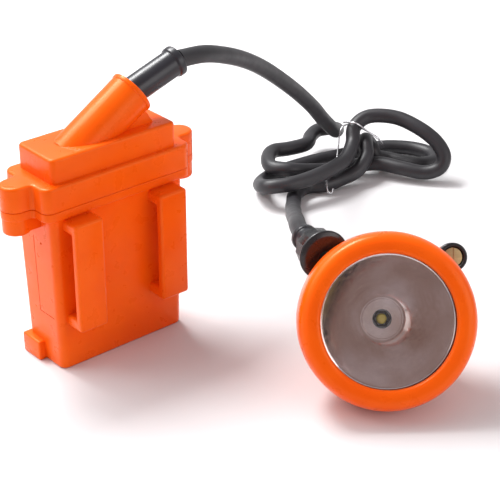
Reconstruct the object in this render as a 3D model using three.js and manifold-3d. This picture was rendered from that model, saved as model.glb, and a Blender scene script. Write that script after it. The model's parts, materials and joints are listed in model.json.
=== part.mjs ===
// Miner's cap lamp: belt battery pack, rubber cord tied in a hank, and tilted lamp head.
// Millimetres, +Z up. The pack stands upright with its width along X and its belt loops facing -Y.
import * as THREE from 'three';
import { mergeVertices } from 'three/addons/utils/BufferGeometryUtils.js';
import Module from 'manifold-3d';

// ---------- driving dimensions ----------
const gap = 0.3; // air between neighbouring pieces

const box = { bottomWidth: 66, bottomDepth: 26, topWidth: 69.4, topDepth: 28.6, corner: 3.5, wall: 2.2 };
const collar = { width: 76.6, depth: 32, corner: 4.5, from: 74.4, seam: 78.3 };
const ear = { centre: 43.2, radius: 6.3, fillet: 2, bottom: 67.5 };
const cover = { top: 89.6, blockWidth: 64.6, blockDepth: 26.2, blockTop: 100.6, blockCorner: 2, wall: 2.4 };
const loop = { centre: 22.2, width: 14.4, front: -23.6, bar: 4, bottom: 22, top: 73.4, leg: 5.4 };
const earScrew = { shank: 1.7, hole: 2, thread: 1.9, head: 3.2, recess: 3.6, length: 16, lift: 0.9 };
const lug = { width: 3.4, from: 0.5, to: 13.5, height: 9.4 };
const hood = { lean: 32, radius: 9.9, x: 16.1, z: 112.3, mouth: 3.9, lip: 10.3, lipLength: 2.2, bore: 7.5 };
const gusset = { halfWidth: 6.7, end: 1.4, length: 34, depth: 22 };
const packSleeve = { lean: 18.5, radius: 6.15, collar: 7, collarLength: 3.4, length: 29.6, inside: 4 };
const cell = { radius: 9.1, height: 65, pitch: 18.8, foot: 5 };
const cord = { radius: 4, sides: 8, steps: 78 };

const bezel = { radius: 37.5, opening: 28.2, back: 18, edge: 17.2 };
const lens = { radius: 31, front: -3.2, back: -6.2 };
const bowl = { rim: 27.5, flat: 9, top: -6.8, focus: 8.4, skin: 1.2, hole: 3.9 };
const shell = { neck: 34.1, wall: 2.2, back: -50, backRadius: 18.8, shoulder: -18.4, widest: 36.2 };
const knob = { angle: 41.5, reach: 39.4, radius: 6.2, front: -18.8, back: -24.4, contact: 4.1 };
const gland = { angle: 132, splay: 28, reach: 39.7, depth: 26.5, nut: 10.2, nutLength: 9, flange: 11 };
const lampSleeve = { radius: 5.2, collar: 6, collarLength: 3, end: 18 };
const lampPlace = { x: 55.1, y: -124.1, turn: -128.7, tilt: 27.8 };
const hook = { thick: 1.4, slot: 3.6, width: 18, top: 13, foot: -12, screwX: 5.5, screwY: -6 };
const lead = { radius: 0.7, sides: 6, steps: 12, spread: 1.1 };
const tie = { radius: 0.45, sides: 6, steps: 60 };

// ---------- materials ----------
const paint = (color, roughness, metalness = 0) => (
  new THREE.MeshStandardMaterial({ color, roughness, metalness }));
const orangePlastic = paint(0xf5560f, 0.28);
const blackPlastic = paint(0x1b1b1f, 0.35);
const blackRubber = paint(0x2b2b33, 0.45);
const cordRubber = paint(0x3c3b40, 0.62);
const paleRubber = paint(0x8d8f92, 0.7);
const chrome = paint(0xdcdcdc, 0.06, 1);
const steel = paint(0xb9bcc0, 0.32, 1);
const brass = paint(0xb8924e, 0.35, 1);
const nickel = paint(0xc9c6bd, 0.3, 1);
const aluminium = paint(0xb4b7ba, 0.4, 1);
const cellWrap = paint(0x2f7f8c, 0.4);
const boardGreen = paint(0x1d5a33, 0.5);
const foam = paint(0x55565a, 0.9);
const phosphor = paint(0xe3d44a, 0.35);
const redWire = paint(0xb01f1c, 0.5);
const blackWire = paint(0x151515, 0.5);
const glass = new THREE.MeshStandardMaterial({
  color: 0xf2f6f8, roughness: 0.03, transparent: true, opacity: 0.3,
});

// ---------- solid modelling helpers ----------
const wasm = await Module();
wasm.setup();

function toSolid(geometry) {
  const bare = geometry.clone();
  bare.deleteAttribute('normal');
  bare.deleteAttribute('uv');
  const welded = mergeVertices(bare, 1e-4);
  const vertProperties = new Float32Array(welded.attributes.position.array);
  const triVerts = new Uint32Array(welded.index.array);
  return new wasm.Manifold(new wasm.Mesh({ numProp: 3, vertProperties, triVerts }));
}

function toGeometry(solid) {
  const mesh = solid.getMesh();
  const geometry = new THREE.BufferGeometry();
  geometry.setAttribute('position', new THREE.BufferAttribute(new Float32Array(mesh.vertProperties), 3));
  geometry.setIndex(new THREE.BufferAttribute(new Uint32Array(mesh.triVerts), 1));
  geometry.computeVertexNormals();
  return geometry;
}

const join = (first, ...rest) => rest.reduce((sum, item) => sum.add(item), first);
const cut = (first, ...rest) => rest.reduce((sum, item) => sum.subtract(item), first);

function block(width, depth, height, x, y, z) {
  return new THREE.BoxGeometry(width, depth, height).translate(x, y, z + height / 2);
}

// a cylinder or cone along Z, standing on z
function post(bottomRadius, topRadius, height, x, y, z, sides = 24) {
  const body = new THREE.CylinderGeometry(topRadius, bottomRadius, height, sides);
  return body.rotateX(Math.PI / 2).translate(x, y, z + height / 2);
}

// a solid of revolution about Z from [radius, z] pairs, given in either direction round the section
function turned(profile, sides = 40) {
  const points = profile.map(([radius, z]) => new THREE.Vector2(radius, z));
  if (THREE.ShapeUtils.area(points) < 0) points.reverse();
  return new THREE.LatheGeometry(points, sides).rotateX(Math.PI / 2);
}

// a ring of revolution: the profile is closed back on its first point
const ringTurned = (profile, sides) => turned([...profile, profile[0]], sides);

function roundedRectangle(width, depth, corner, arcSteps = 3) {
  const points = [];
  const signs = [[1, 1], [-1, 1], [-1, -1], [1, -1]];
  signs.forEach(([sx, sy], quarter) => {
    for (let i = 0; i <= arcSteps; i++) {
      const angle = (quarter + i / arcSteps) * Math.PI / 2;
      const x = sx * (width / 2 - corner) + corner * Math.cos(angle);
      const y = sy * (depth / 2 - corner) + corner * Math.sin(angle);
      points.push([x, y]);
    }
  });
  return points;
}

// skins a stack of convex outlines that have the same number of points
function loft(sections) {
  const count = sections[0].outline.length;
  const position = sections.flatMap(({ outline, z }) => outline.flatMap(([x, y]) => [x, y, z]));
  const index = [];
  for (let layer = 0; layer < sections.length - 1; layer++) {
    for (let i = 0; i < count; i++) {
      const a = layer * count + i;
      const b = layer * count + (i + 1) % count;
      index.push(a, b, b + count, a, b + count, a + count);
    }
  }
  const top = (sections.length - 1) * count;
  for (let i = 1; i < count - 1; i++) {
    index.push(0, i + 1, i);
    index.push(top, top + i, top + i + 1);
  }
  const geometry = new THREE.BufferGeometry();
  geometry.setAttribute('position', new THREE.Float32BufferAttribute(position, 3));
  geometry.setIndex(index);
  geometry.computeVertexNormals();
  return geometry;
}

// a rounded bar standing on z, with both rims eased by a small chamfer
function easedBar(width, depth, height, corner, z, ease = 0.8) {
  const full = roundedRectangle(width, depth, corner);
  const small = roundedRectangle(width - 2 * ease, depth - 2 * ease, corner - ease / 2);
  return loft([
    { outline: small, z },
    { outline: full, z: z + ease },
    { outline: full, z: z + height - ease },
    { outline: small, z: z + height },
  ]);
}

function tube(points, radius, sides, steps) {
  const path = new THREE.CatmullRomCurve3(points.map((p) => new THREE.Vector3(...p)), false, 'catmullrom', 0.5);
  const section = new THREE.Shape();
  for (let i = 0; i < sides; i++) {
    const angle = (i / sides) * 2 * Math.PI;
    const move = i === 0 ? 'moveTo' : 'lineTo';
    section[move](radius * Math.cos(angle), radius * Math.sin(angle));
  }
  return new THREE.ExtrudeGeometry(section, { steps, extrudePath: path, bevelEnabled: false });
}

const radians = (degrees) => degrees * Math.PI / 180;

function piece(name, geometry, material) {
  const mesh = new THREE.Mesh(geometry, material);
  mesh.name = name;
  return mesh;
}

const solidPiece = (name, solid, material) => piece(name, toGeometry(solid), material);

// turns a shape built along Z so that Z leans from vertical-up towards +X, rising at the given angle
const leanTowardsX = (geometry, rise) => geometry.rotateY(radians(90 - rise));

// ---------- battery pack ----------
// the outline shared by collar and cover flange: a rounded rectangle with an ear at each end
function flangeOutline() {
  const shape = new THREE.Shape();
  const halfWidth = collar.width / 2;
  const halfDepth = collar.depth / 2;
  const r = collar.corner;
  const f = ear.fillet;
  const quarter = Math.PI / 2;
  shape.moveTo(-halfWidth + r, -halfDepth);
  shape.absarc(halfWidth - r, -halfDepth + r, r, -quarter, 0, false);
  shape.absarc(halfWidth + f, -ear.radius - f, f, 2 * quarter, quarter, true);
  shape.absarc(ear.centre, 0, ear.radius, -quarter, quarter, false);
  shape.absarc(halfWidth + f, ear.radius + f, f, -quarter, -2 * quarter, true);
  shape.absarc(halfWidth - r, halfDepth - r, r, 0, quarter, false);
  shape.absarc(-halfWidth + r, halfDepth - r, r, quarter, 2 * quarter, false);
  shape.absarc(-halfWidth - f, ear.radius + f, f, 0, -quarter, true);
  shape.absarc(-ear.centre, 0, ear.radius, quarter, 3 * quarter, false);
  shape.absarc(-halfWidth - f, -ear.radius - f, f, quarter, 0, true);
  shape.absarc(-halfWidth + r, -halfDepth + r, r, 2 * quarter, 3 * quarter, false);
  return shape;
}

function flangeSlab(from, to) {
  const options = { depth: to - from, bevelEnabled: false, curveSegments: 2 };
  const slab = new THREE.ExtrudeGeometry(flangeOutline(), options);
  return slab.translate(0, 0, from);
}

function earPost(side, from, to) {
  return post(ear.radius - 0.6, ear.radius, to - from, side * ear.centre, 0, from, 16);
}

// a slab that reaches from the pack's end wall out into the ear
function earNeck(side, from, to) {
  return block(10, 2 * ear.radius - 2, to - from, side * (ear.centre - 5), 0, from);
}

// a belt loop: a bar in front of the box, carried by a leg at each end
function beltLoop(side) {
  const reach = box.bottomDepth / 2 - 1 + loop.front;
  const height = loop.top - loop.bottom;
  const whole = block(loop.width, -reach, height, side * loop.centre, loop.front - reach / 2, loop.bottom);
  const slotDepth = 20;
  const slotY = loop.front + loop.bar + slotDepth / 2;
  const slotHeight = height - 2 * loop.leg;
  const slotZ = loop.bottom + loop.leg;
  const slot = block(loop.width + 2, slotDepth, slotHeight, side * loop.centre, slotY, slotZ);
  return cut(toSolid(whole), toSolid(slot));
}

function batteryBox() {
  const outer = loft([
    { outline: roundedRectangle(box.bottomWidth - 2, box.bottomDepth - 2, box.corner - 1), z: 0 },
    { outline: roundedRectangle(box.bottomWidth, box.bottomDepth, box.corner), z: 1 },
    { outline: roundedRectangle(box.topWidth, box.topDepth, box.corner), z: collar.from + 1 },
  ]);
  const inset = 2 * box.wall;
  const inner = loft([
    { outline: roundedRectangle(box.bottomWidth - inset, box.bottomDepth - inset, 1.6), z: box.wall },
    { outline: roundedRectangle(box.topWidth - inset, box.topDepth - inset, 1.6), z: collar.seam + 1 },
  ]);
  let solid = join(toSolid(outer), toSolid(flangeSlab(collar.from, collar.seam)));
  for (const side of [-1, 1]) {
    const lugGeometry = block(lug.width + 2, lug.to - lug.from, lug.height, 0, (lug.from + lug.to) / 2, 0);
    lugGeometry.translate(side * (box.bottomWidth / 2 + lug.width / 2 - 1), 0, 0);
    const outerPost = toSolid(earPost(side, ear.bottom, collar.seam));
    const neck = toSolid(earNeck(side, ear.bottom + 1, collar.seam));
    solid = join(solid, beltLoop(side), toSolid(lugGeometry), outerPost, neck);
  }
  solid = cut(solid, toSolid(inner));
  const throughHeight = collar.seam - ear.bottom + 2;
  const recessDepth = 3;
  for (const side of [-1, 1]) {
    // clearance hole and head recess for the cover screw, open downwards
    const x = side * ear.centre;
    const { hole, recess } = earScrew;
    solid = cut(solid, toSolid(post(hole, hole, throughHeight, x, 0, ear.bottom - 1, 16)));
    solid = cut(solid, toSolid(post(recess, recess, recessDepth + 1, x, 0, ear.bottom - 1, 16)));
  }
  return solidPiece('battery_box', solid, orangePlastic);
}

// the leaning hood that carries the cord out of the cover, with its gusset and mouth lip
function hoodSolids() {
  const rise = hood.lean;
  const length = 40; // long enough to reach down into the raised block
  const barrel = post(hood.radius, hood.radius, length, 0, 0, hood.mouth - length);
  const lip = post(hood.lip, hood.lip, hood.lipLength, 0, 0, hood.mouth - hood.lipLength);
  const place = (geometry) => toSolid(leanTowardsX(geometry, rise).translate(hood.x, 0, hood.z));
  const { halfWidth, depth, end } = gusset;
  const web = block(depth, 2 * halfWidth, gusset.length, depth / 2, 0, end - gusset.length);
  return join(place(barrel), place(lip), place(web));
}

function hoodBore() {
  const depth = 22;
  const bore = post(hood.bore, hood.bore, depth + 2, 0, 0, hood.mouth - depth);
  return toSolid(leanTowardsX(bore, hood.lean).translate(hood.x, 0, hood.z));
}

function batteryCover() {
  const seam = collar.seam + gap * 2;
  const { blockWidth, blockDepth, blockTop, blockCorner, top, wall } = cover;
  const sunk = 3;
  const raised = easedBar(blockWidth, blockDepth, blockTop - top + sunk, blockCorner, top - sunk, 0.7);
  const ample = 100;
  const belowBlock = block(2 * ample, 2 * ample, ample, 0, 0, blockTop - 0.5 - ample);
  const hoodAbove = cut(hoodSolids(), toSolid(belowBlock));
  const hollow = easedBar(
    blockWidth - 2 * wall, blockDepth - 2 * wall, blockTop - wall - seam + 2, 1.5, seam - 2, 0.4);
  const leadHole = post(3, 3, 12, 2, 0, blockTop - 6, 16);
  let solid = join(toSolid(flangeSlab(seam, top)), toSolid(raised), hoodAbove);
  solid = cut(solid, toSolid(hollow), hoodBore(), toSolid(leadHole));
  const threadDepth = 9;
  for (const side of [-1, 1]) {
    const { thread } = earScrew;
    solid = cut(solid, toSolid(post(thread, thread, threadDepth, side * ear.centre, 0, seam - 1, 16)));
  }
  return solidPiece('battery_cover', solid, orangePlastic);
}

function coverGasket() {
  const thickness = 2 * gap - 0.1;
  const outer = easedBar(collar.width - 3, collar.depth - 3, thickness, 3.5, 0, 0.1);
  const inner = easedBar(box.topWidth - 4, box.topDepth - 4, thickness + 2, 2, -1, 0.1);
  const solid = cut(toSolid(outer), toSolid(inner));
  const mesh = solidPiece('cover_gasket', solid, blackRubber);
  mesh.position.z = collar.seam + 0.05;
  return mesh;
}

// a pan-head screw pointing up, standing on its head
function screw(name, head, shank, length, material = steel) {
  const recess = 0.7;
  const profile = [
    [0, recess], [head * 0.4, recess], [head * 0.4, 0], [head * 0.75, 0], [head, 0.8], [head, 1.8],
    [shank, 1.8], [shank, length - 0.5], [shank - 0.5, length], [0, length],
  ];
  return piece(name, turned(profile, 10), material);
}

function coverScrew(name, side) {
  const mesh = screw(name, earScrew.head, earScrew.shank, earScrew.length);
  mesh.position.set(side * ear.centre, 0, ear.bottom + earScrew.lift);
  return mesh;
}

function batteryCell(name, slot) {
  const { radius, height, pitch, foot } = cell;
  const profile = [
    [0, 0], [radius - 0.7, 0], [radius, 0.7], [radius, height - 1.4], [radius - 0.8, height - 0.7],
    [3.2, height - 0.7], [3.2, height], [0, height],
  ];
  const mesh = piece(name, turned(profile, 16), cellWrap);
  mesh.position.set(slot * pitch, 0, foot);
  return mesh;
}

function packInsides() {
  const group = new THREE.Group();
  const cellTop = cell.foot + cell.height;
  const pad = easedBar(3 * cell.pitch, 18, cell.foot - box.wall - 2 * gap - 0.4, 2, box.wall + gap, 0.3);
  group.add(piece('cell_foot_pad', pad, foam));
  for (const [name, slot] of [['cell_left', -1], ['cell_middle', 0], ['cell_right', 1]]) {
    group.add(batteryCell(name, slot));
  }
  const strapLength = 2 * cell.pitch + 8;
  group.add(piece('strap_top', block(strapLength, 6, 0.3, 0, 0, cellTop + 0.1), nickel));
  group.add(piece('strap_bottom', block(strapLength, 6, 0.3, 0, 0, cell.foot - 0.4), nickel));
  const boardZ = cellTop + 2;
  group.add(piece('protection_board', block(48, 16, 1.6, 0, 0, boardZ), boardGreen));
  group.add(piece('board_fuse', block(10, 7, 2.6, -12, 0, boardZ + 1.7), blackPlastic));
  group.add(piece('board_foam', easedBar(18, 14, 8, 2, boardZ + 5, 0.5).translate(-16, 0, 0), foam));
  return group;
}

// the moulded sleeve that leaves the hood; its root sits in the hood's bore
function packSleeveMesh() {
  const { radius, collar: rim, collarLength, length } = packSleeve;
  const hole = cord.radius + gap;
  const profile = [
    [hole, 0], [radius, 0], [radius, length - collarLength], [rim - 0.4, length - collarLength],
    [rim, length - collarLength + 0.6], [rim, length - 0.6], [rim - 0.6, length], [hole, length],
  ];
  const mesh = piece('pack_cord_sleeve', ringTurned(profile, 20), blackRubber);
  const rise = radians(packSleeve.lean);
  mesh.rotation.y = Math.PI / 2 - rise;
  mesh.position.copy(packSleeveRoot());
  return mesh;
}

// the grommet that grips the cord inside the hood
function packCordClamp() {
  const clamp = ringTurned([[2.3, 0], [6.6, 0], [6.6, 2.4], [2.3, 2.4]], 16).translate(0, 0, -7.5);
  return piece('pack_cord_clamp', leanTowardsX(clamp, hood.lean).translate(hood.x, 0, hood.z), paleRubber);
}

// the two cores, from the protection board up through the cover and along the hood
function packLeads() {
  const group = new THREE.Group();
  const route = [[3.5, 74.2], [2.6, 84], [2, 94], [2.4, 101], [5, 105.4], [10.1, 108.6], [12.7, 110.2]];
  for (const [name, side, material] of [['pack_lead_red', -1, redWire], ['pack_lead_black', 1, blackWire]]) {
    const points = route.map(([x, z]) => [x, side * lead.spread, z]);
    group.add(piece(name, tube(points, lead.radius, lead.sides, lead.steps), material));
  }
  return group;
}

// the sleeve's root, a little inside the middle of the hood's mouth
function packSleeveRoot() {
  const rise = radians(hood.lean);
  const mouth = new THREE.Vector3(Math.cos(rise), 0, Math.sin(rise)).multiplyScalar(hood.mouth);
  const along = radians(packSleeve.lean);
  const back = new THREE.Vector3(Math.cos(along), 0, Math.sin(along)).multiplyScalar(packSleeve.inside);
  return mouth.add(new THREE.Vector3(hood.x, 0, hood.z)).sub(back);
}

// ---------- lamp head, built about its own axis: Z points out of the lens, z = 0 at the bezel face ----------
function bezelRing() {
  const { radius, opening, back, edge } = bezel;
  const seat = lens.radius + gap;
  const bore = shell.neck + gap;
  const profile = [
    [opening, -2.9], [opening, -1.6], [29.4, -0.5], [32.6, 0], [35, -0.8], [36.7, -2.7], [radius, -5.6],
    [radius, -edge], [radius - 0.8, -back], [bore, -back], [bore, -7.9], [seat, -7.9], [seat, -2.9],
  ];
  return piece('bezel_ring', ringTurned(profile, 40), orangePlastic);
}

function lensDisc() {
  const { radius, front, back } = lens;
  const ease = 0.4;
  const profile = [
    [0, back], [radius - ease, back], [radius, back + ease],
    [radius, front - ease], [radius - ease, front], [0, front],
  ];
  return piece('lens', turned(profile, 32), glass);
}

function lensGasket() {
  const outer = lens.radius;
  const inner = 29.6;
  const profile = [[inner, -6.7], [outer, -6.7], [outer, -6.3], [inner, -6.3]];
  return piece('lens_gasket', ringTurned(profile, 32), paleRubber);
}

// depth of the reflecting parabola at a radius
const bowlDepth = (radius) => bowl.top - (bowl.rim ** 2 - radius ** 2) / (4 * bowl.focus);

function reflector() {
  const { rim, flat, top, skin, hole } = bowl;
  const inside = [];
  const outside = [];
  const rings = 5;
  for (let i = 0; i <= rings; i++) {
    const radius = rim + (flat - rim) * (i / rings);
    inside.push([radius, bowlDepth(radius)]);
    outside.unshift([radius + skin * 0.7, bowlDepth(radius) - skin]);
  }
  const floor = bowlDepth(flat);
  const profile = [
    [lens.radius, top], ...inside, [hole, floor], [hole, floor - skin], ...outside, [lens.radius, top - skin],
  ];
  return piece('reflector', ringTurned(profile, 32), chrome);
}

const floorDepth = bowlDepth(bowl.flat);

function ledParts() {
  const group = new THREE.Group();
  const boardTop = floorDepth - bowl.skin - 1.2;
  const wellTop = floorDepth - 0.4;
  const wall = bowl.hole - 0.3;
  const well = ringTurned([[2.6, boardTop + 0.1], [wall, boardTop + 0.1], [wall, wellTop], [2.9, wellTop]], 6);
  group.add(piece('led_well', well, blackPlastic));
  const dome = turned([
    [0, boardTop + 0.1], [2.2, boardTop + 0.1], [2.2, boardTop + 0.9], [1.9, boardTop + 1.7],
    [1.1, boardTop + 2.2], [0, boardTop + 2.4],
  ], 16);
  group.add(piece('led_emitter', dome, phosphor));
  group.add(piece('led_board', post(9.6, 9.6, 1.4, 0, 0, boardTop - 1.5, 6), aluminium));
  const sinkTop = boardTop - 1.7;
  const sink = turned([
    [0, sinkTop - 6], [9, sinkTop - 6], [9, sinkTop - 2.4], [16, sinkTop - 2.4], [16, sinkTop], [0, sinkTop],
  ], 20);
  group.add(piece('heat_sink', sink, aluminium));
  group.add(piece('driver_board', post(13, 13, 1.6, 0, 0, sinkTop - 9.5, 20), boardGreen));
  return group;
}

const onRim = (angle, reach, z) => new THREE.Vector3(
  reach * Math.cos(radians(angle)), reach * Math.sin(radians(angle)), z);

// direction in which the cord leaves the head: backwards, splayed outwards
function glandDirection() {
  const splay = radians(gland.splay);
  return onRim(gland.angle, Math.sin(splay), -Math.cos(splay));
}

const glandPoint = (along) => (
  onRim(gland.angle, gland.reach, -gland.depth).addScaledVector(glandDirection(), along));

// moves a shape built along Z so that it stands on the gland's axis
function onGland(geometry, along) {
  const turn = new THREE.Quaternion().setFromUnitVectors(new THREE.Vector3(0, 0, 1), glandDirection());
  const at = glandPoint(along);
  return geometry.applyQuaternion(turn).translate(at.x, at.y, at.z);
}

// a pocket let into the housing's side, with a wall of its own where it cuts through the shell
function housingPockets(hull) {
  const knobAt = onRim(knob.angle, knob.reach, 0);
  const knobRoom = knob.radius + 2 * gap;
  const glandRoom = gland.flange + 2 * gap;
  const floor = knob.back - gap;
  const wall = shell.wall;
  const knobWell = post(knobRoom + wall, knobRoom + wall, 12, knobAt.x, knobAt.y, floor - wall);
  const glandWell = onGland(post(glandRoom + wall, glandRoom + wall, 32, 0, 0, -7 - wall), 0);
  const knobPocket = post(knobRoom, knobRoom, 12, knobAt.x, knobAt.y, floor);
  const glandPocket = onGland(post(glandRoom, glandRoom, 40, 0, 0, -7), 0);
  return {
    wells: join(toSolid(knobWell), toSolid(glandWell)).intersect(hull),
    pockets: join(toSolid(knobPocket), toSolid(glandPocket)),
  };
}

// the switch chamber behind the knob: shaft hole, rotor room and the way through to the inside
function switchHollows() {
  const at = onRim(knob.angle, knob.reach, 0);
  const shaftHole = post(1.9, 1.9, 12, at.x, at.y, knob.back - 8, 16);
  const rotorRoom = post(3.7, 3.7, 4, at.x, at.y, knob.back - 10.6, 16);
  const door = radialBlock(23, knob.reach, 4, 3, knob.back - 10);
  return join(toSolid(shaftHole), toSolid(rotorRoom), toSolid(door));
}

// a block that runs outwards from one reach to another in the knob's direction
function radialBlock(from, to, width, height, z) {
  return block(to - from, width, height, (from + to) / 2, 0, z).rotateZ(radians(knob.angle));
}

function lampHousing() {
  const { neck, wall, back, backRadius, shoulder, widest } = shell;
  // the cone must clear the floor when the head rests on its bezel
  const waist = { radius: 30.2, z: -30 };
  const outer = [
    [0, back], [backRadius, back], [backRadius + 1.4, back + 1.2], [waist.radius, waist.z],
    [widest, shoulder - 1], [widest, shoulder], [neck, shoulder], [neck, -8.3], [0, -8.3],
  ];
  const inner = [
    [0, back + wall], [backRadius - 1, back + wall], [waist.radius - wall, waist.z + 0.6],
    [neck - 2.5, -23], [neck - 2.5, -7], [0, -7],
  ];
  const hull = toSolid(turned(outer, 32));
  const { wells, pockets } = housingPockets(hull);
  const knobAt = onRim(knob.angle, knob.reach, 0);
  const bossHeight = 13;
  const bossFoot = knob.back - gap - bossHeight;
  const knobBoss = post(4.7, 5.4, bossHeight, knobAt.x, knobAt.y, bossFoot);
  const webBlock = radialBlock(25, knob.reach, 8, bossHeight, bossFoot);
  const knobWeb = cut(toSolid(webBlock), toSolid(turned(inner, 32)));
  const glandBoss = onGland(post(10.4, 10.4, wall, 0, 0, -7 - wall), 0);
  const insideBezel = toSolid(post(bezel.radius - 0.5, bezel.radius - 0.5, 80, 0, 0, -60, 40));
  const seat = toSolid(glandBoss).intersect(insideBezel);
  const beforeShoulder = ringTurned([[neck + 0.01, shoulder], [70, shoulder], [70, 20], [neck + 0.01, 20]], 32);
  const bosses = cut(join(toSolid(knobBoss), knobWeb, seat), toSolid(beforeShoulder));
  const mouth = glandPoint(-7);
  const leadHole = post(2.2, 2.2, 10, 0, 0, -1, 14).rotateY(radians(-90)).rotateZ(radians(gland.angle));
  leadHole.translate(mouth.x, mouth.y, mouth.z);
  let body = join(cut(hull, toSolid(turned(inner, 32))), wells, bosses);
  body = cut(body, pockets, switchHollows(), toSolid(leadHole));
  for (const side of [-1, 1]) {
    body = cut(body, toSolid(post(1.4, 1.4, 5, side * hook.screwX, hook.screwY, back - 1, 10)));
  }
  return solidPiece('lamp_housing', body, orangePlastic);
}

function glandParts() {
  const group = new THREE.Group();
  const { nut, nutLength, flange } = gland;
  const hole = cord.radius + gap;
  const flangeRing = ringTurned([
    [2.3, 0], [flange - 2.2, 0], [flange, 1.2], [flange, 1.8],
    [flange - 0.6, 2.4], [4.9, 2.4], [4.9, 0.8], [2.3, 0.8],
  ], 24);
  group.add(piece('gland_flange', onGland(flangeRing, -6.7), blackPlastic));
  const nutBody = turned([[0, 0], [nut, 0], [nut, nutLength - 1], [nut - 1, nutLength], [0, nutLength]], 6);
  const nutBore = post(5.6, 5.6, nutLength + 2, 0, 0, -1);
  const nutSolid = cut(toSolid(onGland(nutBody, -4)), toSolid(onGland(nutBore, -4)));
  group.add(solidPiece('gland_nut', nutSolid, blackPlastic));
  const { radius, collar: rim, collarLength, end } = lampSleeve;
  const sleeve = ringTurned([
    [hole, -3.6], [radius, -3.6], [radius, end - collarLength], [rim - 0.3, end - collarLength],
    [rim, end - collarLength + 0.5], [rim, end - 0.5], [rim - 0.5, end], [hole, end],
  ], 18);
  group.add(piece('lamp_cord_sleeve', onGland(sleeve, 0), blackRubber));
  const clamp = ringTurned([[2.1, 0], [4.5, 0], [4.5, 1.6], [2.1, 1.6]], 16);
  group.add(piece('lamp_cord_clamp', onGland(clamp, -5.6), paleRubber));
  return group;
}

// the two cores, from the gland in to the driver board
function lampLeads() {
  const group = new THREE.Group();
  const route = [
    [36, -20.3], [31, -20.3], [25.5, -21.2], [21.5, -24.5],
    [20.5, -30], [18.8, -35.3], [14, -37.6], [11.5, -38.1],
  ];
  for (const [name, side, material] of [['lamp_lead_red', -1, redWire], ['lamp_lead_black', 1, blackWire]]) {
    const points = route.map(([reach, z]) => [reach, side * lead.spread, z]);
    const wire = tube(points, lead.radius, lead.sides, lead.steps).rotateZ(radians(gland.angle));
    group.add(piece(name, wire, material));
  }
  return group;
}

function switchFixedParts() {
  const group = new THREE.Group();
  const at = onRim(knob.angle, knob.reach, 0);
  const inward = onRim(knob.angle, knob.reach - 8.4, 0);
  const leaf = block(6, 2.4, 0.4, 0, 0, knob.back - 8.8).rotateZ(radians(knob.angle));
  leaf.translate(inward.x, inward.y, 0);
  group.add(piece('switch_leaf', leaf, brass));
  const seal = ringTurned([[2.1, 0], [2.9, 0], [2.9, 0.2], [2.1, 0.2]], 14);
  seal.translate(at.x, at.y, knob.back - gap + 0.05);
  group.add(piece('switch_seal', seal, blackRubber));
  return group;
}

// the turning pieces: ring knob, brass charging contact in its mouth, shaft and rotor
function switchTurningParts() {
  const group = new THREE.Group();
  const at = onRim(knob.angle, knob.reach, 0);
  group.position.copy(at);
  const { radius, front, back, contact } = knob;
  const ring = ringTurned([
    [2.3, back], [radius - 0.5, back], [radius, back + 0.5], [radius, front - 0.5], [radius - 0.5, front],
    [contact + 0.4, front], [contact + 0.4, front - 2.4], [2.3, front - 2.4],
  ], 20);
  group.add(piece('switch_knob', ring, blackPlastic));
  const contactTop = front - 0.7;
  const disc = toSolid(post(contact, contact, 1.5, 0, 0, contactTop - 1.5, 24));
  const slot = toSolid(block(1, 12, 0.6, 0, 0, contactTop - 0.4));
  group.add(solidPiece('charge_contact', cut(disc, slot), brass));
  const shaftTop = contactTop - 1.7;
  const shaft = turned([[0, back - 7.4], [1.6, back - 7.4], [1.6, shaftTop], [0, shaftTop]], 14);
  group.add(piece('switch_shaft', shaft, steel));
  const rotor = post(3, 3, 2.4, 0, 0, back - 10, 14);
  group.add(piece('switch_rotor', rotor, blackPlastic));
  return group;
}

// steel strip folded back on itself: its free tongue drops into a helmet bracket
function helmetHook() {
  const { thick, slot, width, top, foot } = hook;
  const back = shell.back - gap;
  const quarter = Math.PI / 2;
  const bendCentre = slot / 2 + thick;
  const outline = new THREE.Shape();
  outline.moveTo(foot, 0);
  outline.lineTo(top, 0);
  outline.absarc(top, bendCentre, bendCentre, -quarter, quarter, false);
  outline.lineTo(foot, slot + 2 * thick);
  outline.lineTo(foot - 2, slot + 3.2 * thick);
  outline.lineTo(foot - 3, slot + 2.6 * thick);
  outline.lineTo(foot - 0.4, slot + thick);
  outline.lineTo(top, slot + thick);
  outline.absarc(top, bendCentre, slot / 2, quarter, -quarter, true);
  outline.lineTo(foot, thick);
  const strip = new THREE.ExtrudeGeometry(outline, { depth: width, bevelEnabled: false, curveSegments: 4 });
  // the outline's first axis runs up the lamp's back, its second runs away from the housing
  const frame = new THREE.Matrix4().makeBasis(
    new THREE.Vector3(0, 1, 0), new THREE.Vector3(0, 0, -1), new THREE.Vector3(-1, 0, 0));
  strip.applyMatrix4(frame).translate(width / 2, 0, back);
  let solid = toSolid(strip);
  for (const side of [-1, 1]) {
    solid = cut(solid, toSolid(post(1.4, 1.4, 3, side * hook.screwX, hook.screwY, back - 2, 10)));
  }
  return solidPiece('helmet_hook', solid, steel);
}

function hookScrew(name, side) {
  const headHeight = 1.8;
  const mesh = screw(name, 2.6, 1.1, 6.5);
  mesh.position.set(side * hook.screwX, hook.screwY, shell.back - 2 * gap - hook.thick - headHeight);
  return mesh;
}

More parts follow.
